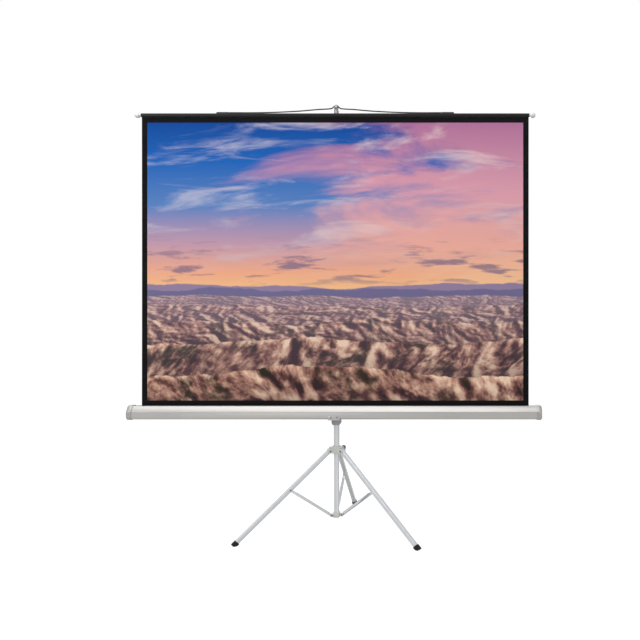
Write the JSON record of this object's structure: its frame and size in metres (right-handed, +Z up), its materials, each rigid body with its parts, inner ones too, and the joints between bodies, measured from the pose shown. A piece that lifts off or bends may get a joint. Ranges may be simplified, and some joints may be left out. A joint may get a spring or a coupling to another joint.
{
  "type": "tripod projection screen",
  "caption": "Portable pull-up projection screen on a folding tripod: spring roller case on a sliding carrier, extension rod with hook, black-bordered cloth and top bar.",
  "frame": {"origin": "on the floor, under the middle of the object's bounding box", "axes": "+Z up, the picture side faces -Y, +X along the case to the viewer's right"},
  "size_m": [2.222, 0.881, 2.329],
  "materials": {
    "grey_lacquer": "light grey lacquered steel tube, satin",
    "brace_steel": "light grey painted strip",
    "hub_grey": "moulded light grey, fine grain",
    "saddle_steel": "light grey painted steel",
    "zinc_steel": "zinc plated",
    "roller_aluminium": "plain extruded",
    "case_silver": "warm silver-grey lacquer on aluminium",
    "cap_silver": "moulded silver-grey",
    "foot_rubber": "matt black",
    "grey_plastic": "moulded light grey, fine grain",
    "hook_plastic": "moulded off-white",
    "black_plastic": "moulded matt black",
    "white_plastic": "milky white",
    "bar_black": "black anodised",
    "cloth_black": "matt black coated cloth",
    "face_white": "matt white projection face",
    "cord_black": "braided black"
  },
  "bodies": {
    "lower_tube": {"lower_tube": "grey_lacquer", "lower_collar": "hub_grey", "back_brace_pin": "zinc_steel", "left_brace_pin": "zinc_steel", "right_brace_pin": "zinc_steel"},
    "mast": {"mast_tube": "grey_lacquer", "mast_top_collar": "grey_plastic", "leg_hub": "hub_grey", "back_leg_pin": "zinc_steel", "left_leg_pin": "zinc_steel", "right_leg_pin": "zinc_steel"},
    "leg_back": {"back_leg": "grey_lacquer", "back_foot": "foot_rubber"},
    "leg_left": {"left_leg": "grey_lacquer", "left_foot": "foot_rubber"},
    "leg_right": {"right_leg": "grey_lacquer", "right_foot": "foot_rubber"},
    "brace_back": {"back_brace": "brace_steel", "back_rivet": "zinc_steel"},
    "brace_left": {"left_brace": "brace_steel", "left_rivet": "zinc_steel"},
    "brace_right": {"right_brace": "brace_steel", "right_rivet": "zinc_steel"},
    "carrier": {"carrier_sleeve": "grey_plastic"},
    "case": {"case_shell": "case_silver", "case_cap_left": "cap_silver", "case_cap_right": "cap_silver", "case_saddle": "saddle_steel", "saddle_screw_left": "zinc_steel", "saddle_screw_right": "zinc_steel", "spring_dowel": "zinc_steel", "screen_cloth": "cloth_black", "white_face": "face_white"},
    "roller": {"roller_tube": "roller_aluminium", "roller_plug_left": "black_plastic", "roller_plug_right": "black_plastic", "roller_spring": "zinc_steel"},
    "screen": {"top_bar": "bar_black", "bar_end_left": "white_plastic", "bar_end_right": "white_plastic", "cord_clip_left": "black_plastic", "cord_clip_right": "black_plastic", "hanger_cord": "cord_black"},
    "rod": {"extension_rod": "grey_lacquer", "rod_bush": "black_plastic", "rod_hook": "hook_plastic"},
    "knob_hub": {"hub_knob": "grey_plastic"},
    "knob_carrier": {"carrier_knob": "grey_plastic"},
    "knob_rod": {"rod_knob": "grey_plastic"}
  },
  "joints": [
    {"name": "mast_slide", "type": "slide", "parent": "lower_tube", "child": "mast", "axis": [0, 0, 1], "range_m": [0, 0.2131]},
    {"name": "leg_back_fold", "type": "hinge", "parent": "mast", "child": "leg_back", "pos_m": [0.00244, -0.08015, 0.442], "axis": [-0.9981, 0.061, 0], "range_deg": [0, 46.3]},
    {"name": "leg_left_fold", "type": "hinge", "parent": "mast", "child": "leg_left", "pos_m": [-0.0358, -0.13792, 0.442], "axis": [0.4462, -0.8949, 0], "range_deg": [0, 46.3]},
    {"name": "leg_right_fold", "type": "hinge", "parent": "mast", "child": "leg_right", "pos_m": [0.03336, -0.14215, 0.442], "axis": [0.5519, 0.8339, 0], "range_deg": [0, 46.3]},
    {"name": "brace_back_fold", "type": "hinge", "parent": "lower_tube", "child": "brace_back", "pos_m": [0.00195, -0.08814, 0.092], "axis": [0.9981, -0.061, 0], "range_deg": [0, 49.5]},
    {"name": "brace_left_fold", "type": "hinge", "parent": "lower_tube", "child": "brace_left", "pos_m": [-0.02864, -0.13435, 0.092], "axis": [-0.4462, 0.8949, 0], "range_deg": [0, 49.5]},
    {"name": "brace_right_fold", "type": "hinge", "parent": "lower_tube", "child": "brace_right", "pos_m": [0.02668, -0.13774, 0.092], "axis": [-0.5519, -0.8339, 0], "range_deg": [0, 49.5]},
    {"name": "carrier_slide", "type": "slide", "parent": "mast", "child": "carrier", "axis": [0, 0, 1], "range_m": [0, 0.5]},
    {"name": "case_swing", "type": "hinge", "parent": "carrier", "child": "case", "pos_m": [0, -0.18208, 0.658], "axis": [0, 1, 0], "range_deg": [-30, 30]},
    {"name": "screen_lift", "type": "slide", "parent": "case", "child": "screen", "axis": [0, 0, 1], "range_m": [-1.54, 0], "deforming": ["screen_cloth", "white_face", "hanger_cord"]},
    {"name": "roller_turn", "type": "hinge", "parent": "case", "child": "roller", "pos_m": [0, -0.18808, 0.654], "axis": [1, 0, 0], "range_deg": [-4370, 0]},
    {"name": "rod_slide", "type": "slide", "parent": "mast", "child": "rod", "axis": [0, 0, 1], "range_m": [-0.9, 0]},
    {"name": "hub_knob_turn", "type": "hinge", "parent": "mast", "child": "knob_hub", "pos_m": [0.0213, -0.10946, 0.4545], "axis": [0.8949, 0.4462, 0], "range_deg": [0, 270]},
    {"name": "carrier_knob_turn", "type": "hinge", "parent": "carrier", "child": "knob_carrier", "pos_m": [0, -0.09778, 0.6415], "axis": [0, 1, 0], "range_deg": [0, 270]},
    {"name": "rod_knob_turn", "type": "hinge", "parent": "mast", "child": "knob_rod", "pos_m": [0, -0.09948, 1.282], "axis": [0, 1, 0], "range_deg": [0, 270]}
  ],
  "couplings": [
    {"joint": "leg_back_fold", "follows": "mast_slide", "rad_per_m": 3.7817},
    {"joint": "leg_left_fold", "follows": "mast_slide", "rad_per_m": 3.7817},
    {"joint": "leg_right_fold", "follows": "mast_slide", "rad_per_m": 3.7817},
    {"joint": "brace_back_fold", "follows": "mast_slide", "rad_per_m": 4.0461},
    {"joint": "brace_left_fold", "follows": "mast_slide", "rad_per_m": 4.0461},
    {"joint": "brace_right_fold", "follows": "mast_slide", "rad_per_m": 4.0461},
    {"joint": "roller_turn", "follows": "screen_lift", "rad_per_m": 49.505}
  ]
}
